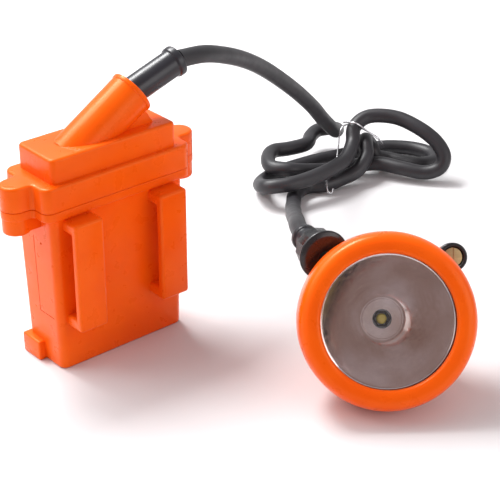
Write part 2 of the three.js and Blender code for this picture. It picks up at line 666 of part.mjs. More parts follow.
function lampHead() {
  const group = new THREE.Group();
  const turn = radians(lampPlace.turn);
  const tilt = radians(lampPlace.tilt);
  const level = Math.cos(tilt);
  const facing = new THREE.Vector3(level * Math.cos(turn), level * Math.sin(turn), Math.sin(tilt));
  const right = new THREE.Vector3(0, 0, 1).cross(facing).normalize();
  const up = facing.clone().cross(right);
  group.quaternion.setFromRotationMatrix(new THREE.Matrix4().makeBasis(right, up, facing));
  // the head rests on the bezel's rear edge
  const height = bezel.radius * Math.cos(tilt) + bezel.edge * Math.sin(tilt);
  group.position.set(lampPlace.x, lampPlace.y, height);
  group.add(bezelRing(), lensDisc(), lensGasket(), reflector(), ledParts(), lampHousing());
  group.add(glandParts(), lampLeads(), switchFixedParts(), switchTurningParts(), helmetHook());
  group.add(hookScrew('hook_screw_left', -1), hookScrew('hook_screw_right', 1));
  return group;
}

// ---------- cord: from the pack's sleeve, round a hank of loops on the floor, to the lamp's sleeve ----------
const cordRoute = [
  // the free arc from the pack
  [44, 0, 122.6], [60, 2, 120.5], [78, 9, 113.5], [98, 19, 103.5], [118, 29, 91.5],
  [138, 38, 77.5], [157, 46, 63], [175, 54, 48], [190, 61, 34], [204, 67, 22],
  // it folds behind itself, then round the first left loop
  [212, 73, 17.5], [217, 79, 15], [217, 85, 13.3], [212, 89, 12.2], [205, 87, 11.3],
  [196, 81, 11], [184, 81.5, 11.5], [173, 83, 12.5],
  [164, 77, 12.8], [158, 67, 13], [163, 58, 13], [175, 56, 9.5],
  // through the middle and round the tall right loop
  [190, 56, 5.5], [204, 50, 6], [214, 41, 7.5], [220, 29, 7], [227, 18.5, 6], [233, 13, 9],
  [236, 13, 15.5], [235.5, 20, 22.5], [232, 31, 28], [227, 43, 31], [217, 53, 31], [207, 54, 27],
  // down the front and round the second left loop
  [201, 49, 20.5], [190, 43, 16.5], [177, 41.5, 14.5], [161, 42, 13.5], [149, 45, 13],
  [142, 52, 11.5], [146, 62, 7.2], [153, 69.5, 4.5],
  // along the floor and round the low right loop
  [164, 73, 4.4], [179, 73, 4.4], [195, 71, 4.4], [211, 67, 4.4], [225, 64, 4.5],
  [237, 58, 5], [247, 47, 5], [249.5, 35, 5], [243, 27, 5], [233.5, 29, 5.5], [229, 36, 5.5], [226, 44, 5.5],
  // over the hump and under the front strand
  [221, 50, 7], [219.5, 53, 13], [214.5, 52.5, 18], [209.5, 47, 17.5], [205.5, 42.5, 13.5],
  [197, 40.5, 8.5], [188, 43, 5.5], [177, 45, 4.4], [168, 49.5, 4.4], [157, 46.5, 4.4], [147.5, 37.5, 5.5],
  // up to the lamp
  [136, 25.3, 11], [124, 11.3, 18.5], [110, -4, 27], [96, -20.5, 36], [82.5, -36.5, 44.5],
  [71, -50.2, 51], [63.9, -61.4, 53],
];

// a twist of thin wire round the two strands that cross on top of the hank
const tieRoute = [
  [202.5, 58, 30], [204, 50, 31.5], [210.5, 47.5, 26], [216, 43.5, 20.5], [220.5, 45, 15.5],
  [225, 54, 16], [217, 59, 22], [208, 61, 26], [202, 60, 24], [197, 56, 17], [190, 50, 11.2],
  [183, 44.8, 9.8], [176, 42.3, 9.3], [173.5, 39.5, 6.2], [173, 38, 4], [174.5, 37, 3.2], [176, 37.5, 5.2],
];

const group = new THREE.Group();
group.add(batteryBox(), batteryCover(), coverGasket(), packInsides());
group.add(packSleeveMesh(), packCordClamp(), packLeads());
group.add(coverScrew('cover_screw_left', -1), coverScrew('cover_screw_right', 1));
group.add(lampHead());
group.add(piece('cord', tube(cordRoute, cord.radius, cord.sides, cord.steps), cordRubber));
group.add(piece('wire_tie', tube(tieRoute, tie.radius, tie.sides, tie.steps), steel));
export default group;
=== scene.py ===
"""A miner's cap lamp: a belt battery pack, a rubber cord tied in a hank, and a round lamp head.

Lengths are millimetres until a mesh becomes a piece, when they turn into Blender's metres.
The frame is the part's own: origin under the middle of the battery pack, +X along the pack's
width, belt loops towards -Y, +Z up.
"""
import json
import math

import bmesh
import bpy
from mathutils import Matrix, Vector


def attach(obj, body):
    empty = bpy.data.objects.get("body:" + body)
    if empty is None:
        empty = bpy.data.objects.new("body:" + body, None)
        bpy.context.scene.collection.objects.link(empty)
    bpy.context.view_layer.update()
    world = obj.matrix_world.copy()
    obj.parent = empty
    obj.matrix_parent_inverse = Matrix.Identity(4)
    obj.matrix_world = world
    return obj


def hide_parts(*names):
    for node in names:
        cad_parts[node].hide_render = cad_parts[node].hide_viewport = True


MM = 0.001
SET = "lamp_set"
SWITCH = "switch"

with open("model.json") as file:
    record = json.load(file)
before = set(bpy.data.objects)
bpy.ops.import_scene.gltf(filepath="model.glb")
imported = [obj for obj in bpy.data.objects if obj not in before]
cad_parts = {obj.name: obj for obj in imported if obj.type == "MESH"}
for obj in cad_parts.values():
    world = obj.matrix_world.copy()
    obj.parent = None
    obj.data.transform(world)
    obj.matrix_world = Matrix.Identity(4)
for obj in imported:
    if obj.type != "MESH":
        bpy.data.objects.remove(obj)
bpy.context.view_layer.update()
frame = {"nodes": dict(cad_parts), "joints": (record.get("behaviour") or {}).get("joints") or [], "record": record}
switch_joint = frame["joints"][0]

# ---------- dimensions of the battery pack ----------
BOX = {"bottom": (66, 26), "top": (69.4, 28.6), "corner": 3.5, "wall": 2.2}
COLLAR = {"width": 76.6, "depth": 32, "corner": 4.5, "base": 74.4, "seam": 78.3}
EAR = {"centre": 43.2, "radius": 6.3, "fillet": 2.0, "bottom": 67.5}
COVER = {"base": 78.45, "top": 89.6, "block": (64.6, 26.2), "block_top": 100.6, "corner": 2.6, "wall": 2.4}
LOOP = {"centre": 22.2, "width": 14.4, "front": -23.6, "bar": 4, "bottom": 22, "top": 73.4, "leg": 5.4}
LUG = {"width": 3.4, "back": 13.5, "front": 0.5, "height": 9.4}
PANEL = {"wall": -34, "cut": 3.2, "groove": 0.35, "foot": 24.6, "height": 37.5, "edge": 1.6, "length": 11,
         "level": -3.8, "dot": (-3.9, 59.9), "dot_radius": 0.5}
COVER_SCREW = {"hole": 2, "head_room": 3.6, "thread": 1.9}
HOOD = {"lean": 32, "radius": 9.9, "x": 16.1, "z": 112.3, "mouth": 3.9, "lip": 10.3, "lip_length": 2.2,
        "bore": 7.5}
GUSSET = {"half_width": 6.7, "end": 1.4, "length": 34, "depth": 22}
PACK_SLEEVE = {"lean": 18.5, "radius": 6.15, "collar": 7, "collar_length": 3.4, "length": 29.6, "inside": 4}

# ---------- dimensions of the lamp head, about its own axis with z = 0 at the bezel's face ----------
BEZEL = {"radius": 37.5, "opening": 28.2, "back": -18, "edge": -17.2, "bore": 34.4}
LENS = {"radius": 31, "front": -3.2, "back": -6.2}
BOWL = {"rim": 27.5, "flat": 9, "top": -6.8, "focus": 8.4, "skin": 1.2, "hole": 3.9}
SHELL = {"neck": 34.1, "wall": 2.2, "back": -50, "back_radius": 18.8, "shoulder": -18.4, "widest": 36.2}
KNOB = {"angle": 41.5, "reach": 39.4, "radius": 6.2, "front": -18.8, "back": -24.4, "contact": 4.1}
GLAND = {"angle": 132, "splay": 28, "reach": 39.7, "depth": 26.5, "nut": 10.2, "nut_length": 9, "flange": 11}
LAMP_SLEEVE = {"radius": 5.2, "collar": 6, "collar_length": 3, "end": 18}
HOOK = {"screw_x": 5.5, "screw_y": -6}
CORD_RADIUS = 4
GAP = 0.3

# ---------- the cord: its route from the pack's sleeve to the lamp's ------------------------------------
CORD_ROUTE = [
    # the free arc from the pack
    (44, 0, 122.6), (60, 2, 120.5), (78, 9, 113.5), (98, 19, 103.5), (118, 29, 91.5),
    (138, 38, 77.5), (157, 46, 63), (175, 54, 48), (190, 61, 34), (204, 67, 22),
    # it folds behind itself, then round the first left loop
    (212, 73, 17.5), (217, 79, 15), (217, 85, 13.3), (212, 89, 12.2), (205, 87, 11.3),
    (196, 81, 11), (184, 81.5, 11.5), (173, 83, 12.5),
    (164, 77, 12.8), (158, 67, 13), (163, 58, 13), (175, 56, 9.5),
    # through the middle and round the tall right loop
    (190, 56, 5.5), (204, 50, 6), (214, 41, 7.5), (220, 29, 7), (227, 18.5, 6), (233, 13, 9),
    (236, 13, 15.5), (235.5, 20, 22.5), (232, 31, 28), (227, 43, 31), (217, 53, 31), (207, 54, 27),
    # down the front and round the second left loop
    (201, 49, 20.5), (190, 43, 16.5), (177, 41.5, 14.5), (161, 42, 13.5), (149, 45, 13),
    (142, 52, 11.5), (146, 62, 7.2), (153, 69.5, 4.5),
    # along the floor and round the low right loop
    (164, 73, 4.4), (179, 73, 4.4), (195, 71, 4.4), (211, 67, 4.4), (225, 64, 4.5),
    (237, 58, 5), (247, 47, 5), (249.5, 35, 5), (243, 27, 5), (233.5, 29, 5.5),
    (229, 36, 5.5), (226, 44, 5.5),
    # over the hump and under the front strand
    (221, 50, 7), (219.5, 53, 13), (214.5, 52.5, 18), (209.5, 47, 17.5), (205.5, 42.5, 13.5),
    (197, 40.5, 8.5), (188, 43, 5.5), (177, 45, 4.4), (168, 49.5, 4.4), (157, 46.5, 4.4), (147.5, 37.5, 5.5),
    # up to the lamp
    (136, 25.3, 11), (124, 11.3, 18.5), (110, -4, 27), (96, -20.5, 36), (82.5, -36.5, 44.5),
    (71, -50.2, 51), (63.9, -61.4, 53),
]

# the twist of wire round the two strands that cross on top of the hank
TIE_ROUTE = [
    (202.5, 58, 30), (204, 50, 31.5), (210.5, 47.5, 26), (216, 43.5, 20.5), (220.5, 45, 15.5),
    (225, 54, 16), (217, 59, 22), (208, 61, 26), (202, 60, 24), (197, 56, 17), (190, 50, 11.2),
    (183, 44.8, 9.8), (176, 42.3, 9.3), (173.5, 39.5, 6.2), (173, 38, 4), (174.5, 37, 3.2), (176, 37.5, 5.2),
]
TIE_RADIUS = 0.45


# ---------- camera ----------
CAMERA_PLACE = Vector((-334.2, -493.3, 358.4))
CAMERA_FORWARD = Vector((0.5721, 0.6725, -0.4695))
CAMERA_LENS = 108.75
CAMERA_SENSOR = 36


def add_camera():
    camera = bpy.data.objects.new("camera", bpy.data.cameras.new("camera"))
    bpy.context.collection.objects.link(camera)
    camera.location = CAMERA_PLACE * MM
    camera.rotation_euler = CAMERA_FORWARD.to_track_quat("-Z", "Y").to_euler()
    camera.data.lens = CAMERA_LENS
    camera.data.sensor_width = CAMERA_SENSOR
    bpy.context.scene.camera = camera


add_camera()


# ---------- materials ----------
def new_material(name, colour, roughness, metallic=0.0, **sockets):
    material = bpy.data.materials.new(name)
    material.use_nodes = True
    shader = material.node_tree.nodes["Principled BSDF"]
    shader.inputs["Base Color"].default_value = (*colour, 1)
    shader.inputs["Roughness"].default_value = roughness
    shader.inputs["Metallic"].default_value = metallic
    for socket, value in sockets.items():
        shader.inputs[socket.replace("_", " ")].default_value = value
    return material


def add_noise(material, scale, detail=4, stretch=(1, 1, 1)):
    """A noise texture in the piece's own metres, scaled in repeats per metre."""
    nodes, links = material.node_tree.nodes, material.node_tree.links
    place = nodes.new("ShaderNodeTexCoord")
    mapping = nodes.new("ShaderNodeMapping")
    mapping.inputs["Scale"].default_value = stretch
    noise = nodes.new("ShaderNodeTexNoise")
    noise.inputs["Scale"].default_value = scale
    noise.inputs["Detail"].default_value = detail
    links.new(place.outputs["Object"], mapping.inputs["Vector"])
    links.new(mapping.outputs["Vector"], noise.inputs["Vector"])
    return noise.outputs["Fac"]


def vary_roughness(material, factor, low, high):
    nodes, links = material.node_tree.nodes, material.node_tree.links
    spread = nodes.new("ShaderNodeMapRange")
    spread.inputs["From Min"].default_value = 0.3
    spread.inputs["From Max"].default_value = 0.7
    spread.inputs["To Min"].default_value = low
    spread.inputs["To Max"].default_value = high
    links.new(factor, spread.inputs["Value"])
    links.new(spread.outputs["Result"], nodes["Principled BSDF"].inputs["Roughness"])


def vary_colour(material, factor, first, second):
    nodes, links = material.node_tree.nodes, material.node_tree.links
    ramp = nodes.new("ShaderNodeValToRGB")
    ramp.color_ramp.elements[0].position = 0.35
    ramp.color_ramp.elements[1].position = 0.65
    ramp.color_ramp.elements[0].color = (*first, 1)
    ramp.color_ramp.elements[1].color = (*second, 1)
    links.new(factor, ramp.inputs["Fac"])
    links.new(ramp.outputs["Color"], nodes["Principled BSDF"].inputs["Base Color"])


def add_bump(material, factor, strength, depth_mm):
    nodes, links = material.node_tree.nodes, material.node_tree.links
    bump = nodes.new("ShaderNodeBump")
    bump.inputs["Strength"].default_value = strength
    bump.inputs["Distance"].default_value = depth_mm * MM
    links.new(factor, bump.inputs["Height"])
    links.new(bump.outputs["Normal"], nodes["Principled BSDF"].inputs["Normal"])


def moulded(name, first, second, roughness, grain=900, strength=0.12, **sockets):
    """Injection-moulded plastic or rubber: slight colour drift, uneven gloss and a fine skin texture."""
    material = new_material(name, first, roughness, **sockets)
    vary_colour(material, add_noise(material, 45, 3), first, second)
    vary_roughness(material, add_noise(material, 160, 5), roughness - 0.05, roughness + 0.07)
    add_bump(material, add_noise(material, grain, 3), strength, 0.05)
    return material


def metal(name, colour, roughness, stretch=(1, 1, 1), strength=0.1):
    """Turned or drawn metal: the grain runs where the noise is stretched."""
    dark = tuple(value * 0.82 for value in colour)
    material = new_material(name, colour, roughness, metallic=1.0)
    vary_colour(material, add_noise(material, 120, 3, stretch), dark, colour)
    vary_roughness(material, add_noise(material, 500, 4, stretch), roughness - 0.04, roughness + 0.1)
    add_bump(material, add_noise(material, 1600, 2, stretch), strength, 0.02)
    return material


MATERIALS = {
    "orange_plastic": moulded("orange_plastic", (0.95, 0.118, 0.003), (0.90, 0.098, 0.002), 0.30, 700, 0.08,
                              Specular_Tint=(1, 0.45, 0.15, 1), Coat_Weight=0.05, Coat_Roughness=0.15),
    "black_plastic": moulded("black_plastic", (0.010, 0.010, 0.012), (0.016, 0.016, 0.018), 0.26, 900, 0.1),
    "black_rubber": moulded("black_rubber", (0.011, 0.011, 0.015), (0.017, 0.017, 0.023), 0.30, 1100, 0.15),
    "cord_rubber": moulded("cord_rubber", (0.013, 0.012, 0.015), (0.021, 0.020, 0.024), 0.46, 1500, 0.25),
    "pale_rubber": moulded("pale_rubber", (0.24, 0.25, 0.27), (0.30, 0.31, 0.33), 0.55, 1200, 0.2),
    "steel": metal("steel", (0.55, 0.56, 0.58), 0.28, (1, 1, 12)),
    "tie_wire": metal("tie_wire", (0.72, 0.72, 0.74), 0.25),
    "brass": metal("brass", (0.62, 0.46, 0.24), 0.42, (1, 1, 8)),
    "nickel_strip": metal("nickel_strip", (0.6, 0.58, 0.55), 0.3, (8, 1, 1)),
    "aluminium": metal("aluminium", (0.5, 0.52, 0.53), 0.35, (1, 8, 1)),
    "cell_can": moulded("cell_can", (0.03, 0.20, 0.25), (0.04, 0.23, 0.28), 0.35),
    "board_green": moulded("board_green", (0.015, 0.11, 0.035), (0.02, 0.14, 0.05), 0.4),
    "foam": moulded("foam", (0.08, 0.08, 0.09), (0.12, 0.12, 0.13), 0.8, 500, 0.6),
    "phosphor": moulded("phosphor", (0.72, 0.58, 0.10), (0.80, 0.66, 0.16), 0.3),
    "red_insulation": moulded("red_insulation", (0.42, 0.02, 0.015), (0.48, 0.03, 0.02), 0.45),
    "black_insulation": moulded("black_insulation", (0.01, 0.01, 0.01), (0.02, 0.02, 0.02), 0.45),
}


def lens_glass():
    """Clear glass whose polish is slightly uneven."""
    material = new_material("lens_glass", (0.97, 0.98, 0.99), 0.02)
    shader = material.node_tree.nodes["Principled BSDF"]
    shader.inputs["Transmission Weight"].default_value = 1.0
    shader.inputs["IOR"].default_value = 1.45
    vary_roughness(material, add_noise(material, 30, 2), 0.0, 0.03)
    return material


def reflector_chrome():
    """Bright plating with broad brown patches of painted reflection in its colour, and not quite evenly polished.
    """
    plated, painted_brown_reflection = (0.96, 0.93, 0.94), (0.62, 0.48, 0.42)
    roughness = 0.11
    material = new_material("reflector_chrome", plated, roughness, metallic=1.0)
    # painted reflection: noise mixes broad brown patches, standing in for a dark reflection, into the plating's
    # colour
    vary_colour(material, add_noise(material, 32, 2), painted_brown_reflection, plated)
    vary_roughness(material, add_noise(material, 500), roughness - 0.04, roughness + 0.1)
    return material


MATERIALS["lens_glass"] = lens_glass()
MATERIALS["reflector_chrome"] = reflector_chrome()


# ---------- mesh helpers ----------
def mesh_from(vertices, faces):
    mesh = bmesh.new()
    made = [mesh.verts.new(vertex) for vertex in vertices]
    for face in faces:
        mesh.faces.new([made[index] for index in face])
    bmesh.ops.recalc_face_normals(mesh, faces=mesh.faces)
    return mesh


def block(width, depth, height, x, y, z):
    """A box centred on x and y, standing on z."""
    mesh = bmesh.new()
    place = Matrix.Translation((x, y, z + height / 2)) @ Matrix.Diagonal((width, depth, height, 1))
    bmesh.ops.create_cube(mesh, size=1, matrix=place)
    return mesh


def post(radius, height, x, y, z, sides=48):
    mesh = bmesh.new()
    place = Matrix.Translation((x, y, z + height / 2))
    bmesh.ops.create_cone(mesh, cap_ends=True, segments=sides, radius1=radius, radius2=radius, depth=height,
                          matrix=place)
    return mesh


def ease_edges(mesh, width, segments=3, sharper_than=35):
    """Rounds every edge that turns more sharply than the given angle."""
    edges = [edge for edge in mesh.edges if edge.calc_face_angle(0) > math.radians(sharper_than)]
    bmesh.ops.bevel(mesh, geom=edges, offset=width, segments=segments, profile=0.5, affect="EDGES",
                    clamp_overlap=True)
    return mesh


def softened(corners, radius, steps=4, closed=True):
    """The outline with each corner turned into a small curve."""
    count = len(corners)
    points = []
    for index, corner in enumerate(corners):
        if not closed and index in (0, count - 1):
            points.append(tuple(corner))
            continue
        here = Vector(corner)
        before = Vector(corners[index - 1]) - here
        after = Vector(corners[(index + 1) % count]) - here
        reach_in = min(radius, before.length * 0.45)
        reach_out = min(radius, after.length * 0.45)
        start = here + before.normalized() * reach_in
        end = here + after.normalized() * reach_out
        for step in range(steps + 1):
            t = step / steps
            points.append(tuple(start * (1 - t) ** 2 + here * 2 * t * (1 - t) + end * t ** 2))
    return points


def turned(profile, sides=96):
    """A solid of revolution about Z; the profile's points on the axis become single vertices."""
    vertices, rings = [], []
    for radius, z in profile:
        if radius < 1e-6:
            rings.append([len(vertices)] * sides)
            vertices.append((0, 0, z))
            continue
        rings.append(list(range(len(vertices), len(vertices) + sides)))
        for step in range(sides):
            angle = 2 * math.pi * step / sides
            vertices.append((radius * math.cos(angle), radius * math.sin(angle), z))
    faces = []
    touches_axis = profile[0][0] < 1e-6
    pairs = len(rings) - 1 if touches_axis else len(rings)
    for index in range(pairs):
        inner, outer = rings[index], rings[(index + 1) % len(rings)]
        for step in range(sides):
            after = (step + 1) % sides
            face = [inner[step], inner[after], outer[after], outer[step]]
            face = [corner for place, corner in enumerate(face) if corner not in face[:place]]
            if len(face) > 2:
                faces.append(face)
    return mesh_from(vertices, faces)


def ring_turned(profile, edge=0.3, sides=96, steps=3):
    return turned(softened(profile, edge, steps), sides)


def disc_turned(profile, edge=0.3, sides=96, steps=3):
    """As ring_turned, for a profile that starts and ends on the axis."""
    return turned(softened(profile, edge, steps, closed=False), sides)


def rounded_rectangle(width, depth, corner, steps=8):
    points = []
    for quarter, (sx, sy) in enumerate([(1, 1), (-1, 1), (-1, -1), (1, -1)]):
        for step in range(steps + 1):
            angle = (quarter + step / steps) * math.pi / 2
            x = sx * (width / 2 - corner) + corner * math.cos(angle)
            y = sy * (depth / 2 - corner) + corner * math.sin(angle)
            points.append((x, y))
    return points


def loft(sections):
    """Skins outlines that have the same number of points; sections are (outline, z)."""
    count = len(sections[0][0])
    vertices = [(x, y, z) for outline, z in sections for x, y in outline]
    faces = [list(range(count)), list(range(len(vertices) - count, len(vertices)))]
    for layer in range(len(sections) - 1):
        for index in range(count):
            a = layer * count + index
            b = layer * count + (index + 1) % count
            faces.append([a, b, b + count, a + count])
    return mesh_from(vertices, faces)


def rounded_steps(edge, steps=4):
    """(inset, rise) pairs that carry a rim round a quarter circle, from the flat to the wall."""
    angles = [math.pi / 2 * step / steps for step in range(steps + 1)]
    return [(edge * (1 - math.sin(angle)), edge * (1 - math.cos(angle))) for angle in angles]


def rounded_slab(outline, base, top, base_edge, top_edge):
    """A slab with rounded rims; outline(inset) gives its section drawn in by that much."""
    sections = [(outline(inset), base + rise) for inset, rise in rounded_steps(base_edge)]
    sections += [(outline(inset), top - rise) for inset, rise in reversed(rounded_steps(top_edge))]
    return loft(sections)


def temporary(mesh):
    data = bpy.data.meshes.new("temporary")
    mesh.to_mesh(data)
    mesh.free()
    item = bpy.data.objects.new("temporary", data)
    bpy.context.collection.objects.link(item)
    return item


def boolean(base, tools, operation):
    """The base joined with (UNION) or cut by (DIFFERENCE) each tool in turn."""
    items = [temporary(base)]
    for tool in tools:
        items.append(temporary(tool))
        modifier = items[0].modifiers.new("boolean", "BOOLEAN")
        modifier.operation = operation
        modifier.solver = "EXACT"
        modifier.object = items[-1]
    depsgraph = bpy.context.evaluated_depsgraph_get()
    data = bpy.data.meshes.new_from_object(items[0].evaluated_get(depsgraph))
    result = bmesh.new()
    result.from_mesh(data)
    bpy.data.meshes.remove(data)
    for item in items:
        bpy.data.meshes.remove(item.data)
    return result


def join(base, *tools):
    return boolean(base, tools, "UNION")


def cut(base, *tools):
    return boolean(base, tools, "DIFFERENCE")


def placed(mesh, place):
    bmesh.ops.transform(mesh, matrix=place, verts=mesh.verts)
    return mesh


def add_piece(name, mesh, material, body=SET, replaces=(), crease=32):
    """Turns a bmesh in millimetres into a finished piece that stands for the named CAD nodes."""
    bmesh.ops.scale(mesh, vec=(MM, MM, MM), verts=mesh.verts)
    bmesh.ops.recalc_face_normals(mesh, faces=mesh.faces)
    data = bpy.data.meshes.new(name)
    mesh.to_mesh(data)
    mesh.free()
    data.shade_smooth()
    data.set_sharp_from_angle(angle=math.radians(crease))
    data.materials.append(MATERIALS[material])
    piece = bpy.data.objects.new(name, data)
    bpy.context.collection.objects.link(piece)
    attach(piece, body)
    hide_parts(*(replaces or [name.removesuffix("_shape")]))
    return piece


# ---------- cord ----------
def add_curve(name, route, radius, material):
    curve = bpy.data.curves.new(name, "CURVE")
    curve.dimensions = "3D"
    curve.bevel_depth = radius * MM
    curve.bevel_resolution = 8
    curve.resolution_u = 10
    curve.use_fill_caps = True
    spline = curve.splines.new("BEZIER")
    spline.bezier_points.add(len(route) - 1)
    points = [Vector(point) * MM for point in route]
    for index, knot in enumerate(spline.bezier_points):
        before = points[max(index - 1, 0)]
        after = points[min(index + 1, len(points) - 1)]
        # handles a third of the way along give the same curve as the part's own spline
        reach = (after - before) / 6 if 0 < index < len(points) - 1 else (after - before) / 3
        knot.co = points[index]
        knot.handle_left = points[index] - reach
        knot.handle_right = points[index] + reach
    curve.materials.append(MATERIALS[material])
    piece = bpy.data.objects.new(name, curve)
    bpy.context.collection.objects.link(piece)
    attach(piece, SET)
    return piece


def add_cord():
    cord = add_curve("cord_sheath", CORD_ROUTE, CORD_RADIUS, "cord_rubber")
    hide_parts("cord")
    tie = add_curve("wire_tie_twist", TIE_ROUTE, TIE_RADIUS, "tie_wire")
    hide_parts("wire_tie")


add_cord()


# ---------- battery pack ----------
def flange_outline(inset):
    """A rounded rectangle with an ear at each end, shared by the collar and the cover's flange."""
    half_width = COLLAR["width"] / 2 - inset
    half_depth = COLLAR["depth"] / 2 - inset
    corner = COLLAR["corner"] - inset
    ear = EAR["radius"] - inset
    fillet = EAR["fillet"] + inset
    points = []

    def arc(x, y, radius, start, end, steps=8):
        for step in range(steps + 1):
            angle = math.radians(start + (end - start) * step / steps)
            points.append((x + radius * math.cos(angle), y + radius * math.sin(angle)))

    for side in (1, -1):
        turn = 0 if side == 1 else 180
        arc(side * (half_width - corner), -side * (half_depth - corner), corner, turn - 90, turn)
        arc(side * (half_width + fillet), -side * (ear + fillet), fillet, turn + 180, turn + 90)
        arc(side * EAR["centre"], 0, ear, turn - 90, turn + 90, 16)
        arc(side * (half_width + fillet), side * (ear + fillet), fillet, turn - 90, turn - 180)
        arc(side * (half_width - corner), side * (half_depth - corner), corner, turn, turn + 90)
    return points


def belt_loop(side):
    """A bar in front of the box, carried by a leg at each end."""
    root = -BOX["bottom"][1] / 2 + 1
    front, bar = LOOP["front"], LOOP["bar"]
    low, high = LOOP["bottom"], LOOP["top"]
    section = [
        (front, low), (root, low), (root, low + LOOP["leg"]), (front + bar, low + LOOP["leg"]),
        (front + bar, high - LOOP["leg"]), (root, high - LOOP["leg"]), (root, high), (front, high),
    ]
    left = side * LOOP["centre"] - LOOP["width"] / 2
    near = [(left, y, z) for y, z in section]
    far = [(left + LOOP["width"], y, z) for y, z in section]
    count = len(section)
    faces = [list(range(count)), list(range(count, 2 * count))]
    faces += [[i, (i + 1) % count, count + (i + 1) % count, count + i] for i in range(count)]
    return ease_edges(mesh_from(near + far, faces), 1.4, 5)


def foot_lug(side):
    length = LUG["back"] - LUG["front"]
    centre = side * (BOX["bottom"][0] / 2 + LUG["width"] / 2 - 1)
    lug = block(LUG["width"] + 2, length, LUG["height"], centre, (LUG["back"] + LUG["front"]) / 2, 0)
    return ease_edges(lug, 0.8, 4)


def ear_neck(side, base, top):
    return block(10, 2 * EAR["radius"] - 2, top - base, side * (EAR["centre"] - 5), 0, base)


def panel_lines():
    """The shallow grooves round a fitted panel in the left end wall, and its locating dot."""
    wall_x, depth, groove, foot = (PANEL[key] for key in ("wall", "cut", "groove", "foot"))
    upright = block(depth, groove, PANEL["height"], wall_x, PANEL["edge"], foot)
    level = block(depth, PANEL["length"], groove, wall_x, PANEL["level"], foot)
    through_wall = Matrix.Translation((wall_x, *PANEL["dot"])) @ Matrix.Rotation(math.pi / 2, 4, "Y")
    dot = placed(post(PANEL["dot_radius"], depth, 0, 0, -depth / 2, 16), through_wall)
    return [upright, level, dot]


def battery_box():
    def lower(inset):
        width, depth = BOX["bottom"]
        return rounded_rectangle(width - 2 * inset, depth - 2 * inset, BOX["corner"] - inset)

    sections = [(lower(inset), rise) for inset, rise in rounded_steps(1.2)]
    sections.append((rounded_rectangle(*BOX["top"], BOX["corner"]), COLLAR["base"] + 1))
    body = loft(sections)
    inset = 2 * BOX["wall"]
    hollow = loft([
        (rounded_rectangle(BOX["bottom"][0] - inset, BOX["bottom"][1] - inset, 1.6), BOX["wall"]),
        (rounded_rectangle(BOX["top"][0] - inset, BOX["top"][1] - inset, 1.6), COLLAR["seam"] + 1),
    ])
    parts = [rounded_slab(flange_outline, COLLAR["base"], COLLAR["seam"], 0.6, 0.35)]
    cuts = [hollow]
    for side in (-1, 1):
        x = side * EAR["centre"]
        bottom = EAR["bottom"]
        top = COLLAR["seam"] - 0.4
        ear_post = ease_edges(post(EAR["radius"] - 0.3, top - bottom, x, 0, bottom), 0.8)
        parts += [belt_loop(side), foot_lug(side), ear_post, ear_neck(side, bottom + 1, top)]
        cuts += [
            post(COVER_SCREW["hole"], 20, x, 0, 60, 24),
            post(COVER_SCREW["head_room"], 6, x, 0, bottom - 3, 32),
        ]
    body = cut(join(body, *parts), *cuts, *panel_lines())
    add_piece("battery_box_shape", body, "orange_plastic")


def hood_place():
    """Z along the hood's axis, with its origin a little inside the mouth."""
    lean = Matrix.Rotation(math.radians(90 - HOOD["lean"]), 4, "Y")
    return Matrix.Translation((HOOD["x"], 0, HOOD["z"])) @ lean


def hood():
    place = hood_place()
    rim = HOOD["mouth"] - HOOD["lip_length"]
    length = 40
    # the barrel ends inside the lip, so that no two end faces share a plane
    barrel = post(HOOD["radius"], length, 0, 0, rim + 1 - length, 64)
    edge, mouth = HOOD["lip"], HOOD["mouth"]
    lip = disc_turned([(0, rim), (edge, rim), (edge, mouth), (0, mouth)], 0.7, 64)
    depth = GUSSET["depth"]
    foot = GUSSET["end"] - GUSSET["length"]
    web = ease_edges(block(depth, 2 * GUSSET["half_width"], GUSSET["length"], depth / 2, 0, foot), 0.8)
    whole = join(placed(barrel, place), placed(lip, place), placed(web, place))
    # everything below the deck is taken away, apart from half a millimetre that is sunk into it
    waste, sunk = 100, 0.5
    return cut(whole, block(2 * waste, 2 * waste, waste, 0, 0, COVER["block_top"] - sunk - waste))


def battery_cover():
    def block_outline(inset):
        width, depth = COVER["block"]
        return rounded_rectangle(width - 2 * inset, depth - 2 * inset, COVER["corner"] - inset)

    flange = rounded_slab(flange_outline, COVER["base"], COVER["top"], 0.35, 1.3)
    raised = rounded_slab(block_outline, COVER["top"] - 3, COVER["block_top"], 0.3, 1.4)
    width, depth = COVER["block"]
    inset = 2 * COVER["wall"]
    hollow = block(width - inset, depth - inset, COVER["block_top"] - COVER["wall"] - COVER["base"] + 2, 0, 0,
                   COVER["base"] - 2)
    bore = placed(post(HOOD["bore"], 24, 0, 0, HOOD["mouth"] - 22, 48), hood_place())
    lead_hole = post(3, 12, 2, 0, COVER["block_top"] - 6, 24)
    thread = COVER_SCREW["thread"]
    screw_holes = [post(thread, 9, side * EAR["centre"], 0, COVER["base"] - 1, 24) for side in (-1, 1)]
    body = cut(join(flange, raised, hood()), hollow, bore, lead_hole, *screw_holes)
    add_piece("battery_cover_shape", body, "orange_plastic")


def direction(lean):
    return Vector((math.cos(math.radians(lean)), 0, math.sin(math.radians(lean))))


